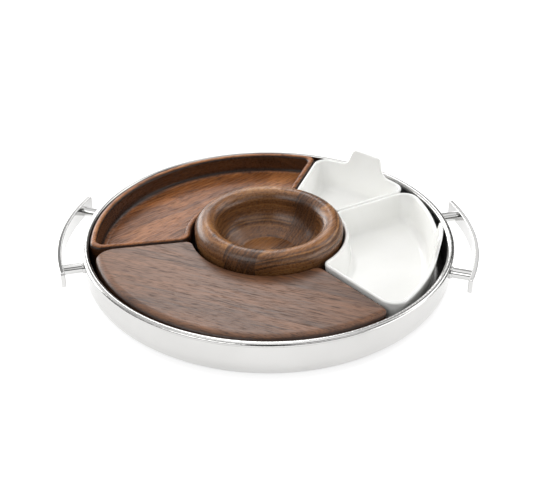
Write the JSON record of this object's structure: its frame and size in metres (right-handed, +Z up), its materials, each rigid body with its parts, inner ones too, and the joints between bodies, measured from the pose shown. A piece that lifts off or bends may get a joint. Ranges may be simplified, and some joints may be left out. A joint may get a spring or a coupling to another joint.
{
  "type": "chip and dip server",
  "caption": "Round polished metal serving tray with two bar handles, holding lift-out wood and porcelain sections around a central wooden dip bowl.",
  "frame": {"origin": "centre of the tray on the surface it stands on", "axes": "+X towards the right handle, +Y towards the rear small dish side, +Z up"},
  "size_m": [0.434, 0.3844, 0.0665],
  "materials": {
    "polished_steel": "mirror polished stainless steel",
    "handle_steel": "mirror polished stainless steel",
    "fixing_steel": "plain zinc-grey steel",
    "pad_rubber": "matt",
    "tray_wood": "oiled dark hardwood, satin",
    "board_wood": "oiled dark hardwood, satin",
    "bowl_wood": "oiled dark hardwood, satin",
    "porcelain": "white gloss glaze"
  },
  "bodies": {
    "serving_tray": {"tray_shell": "polished_steel", "tray_pan": "polished_steel", "base_pads": "pad_rubber", "left_handle_strap": "handle_steel", "right_handle_strap": "handle_steel", "left_front_post": "handle_steel", "left_rear_post": "handle_steel", "right_front_post": "handle_steel", "right_rear_post": "handle_steel", "left_front_collar": "handle_steel", "left_rear_collar": "handle_steel", "right_front_collar": "handle_steel", "right_rear_collar": "handle_steel", "post_screws": "fixing_steel", "post_washers": "fixing_steel"},
    "chip_tray": {"wood_tray": "tray_wood"},
    "cutting_board": {"board": "board_wood"},
    "bowl": {"dip_bowl": "bowl_wood"},
    "dish_large": {"large_dish": "porcelain"},
    "dish_small": {"small_dish": "porcelain"}
  },
  "joints": [
    {"name": "chip_tray_lift", "type": "slide", "parent": "serving_tray", "child": "chip_tray", "axis": [0, 0, 1], "range_m": [0, 0.08]},
    {"name": "board_lift", "type": "slide", "parent": "serving_tray", "child": "cutting_board", "axis": [0, 0, 1], "range_m": [0, 0.08]},
    {"name": "bowl_lift", "type": "slide", "parent": "serving_tray", "child": "bowl", "axis": [0, 0, 1], "range_m": [0, 0.08]},
    {"name": "large_dish_lift", "type": "slide", "parent": "serving_tray", "child": "dish_large", "axis": [0, 0, 1], "range_m": [0, 0.08]},
    {"name": "small_dish_lift", "type": "slide", "parent": "serving_tray", "child": "dish_small", "axis": [0, 0, 1], "range_m": [0, 0.08]}
  ]
}
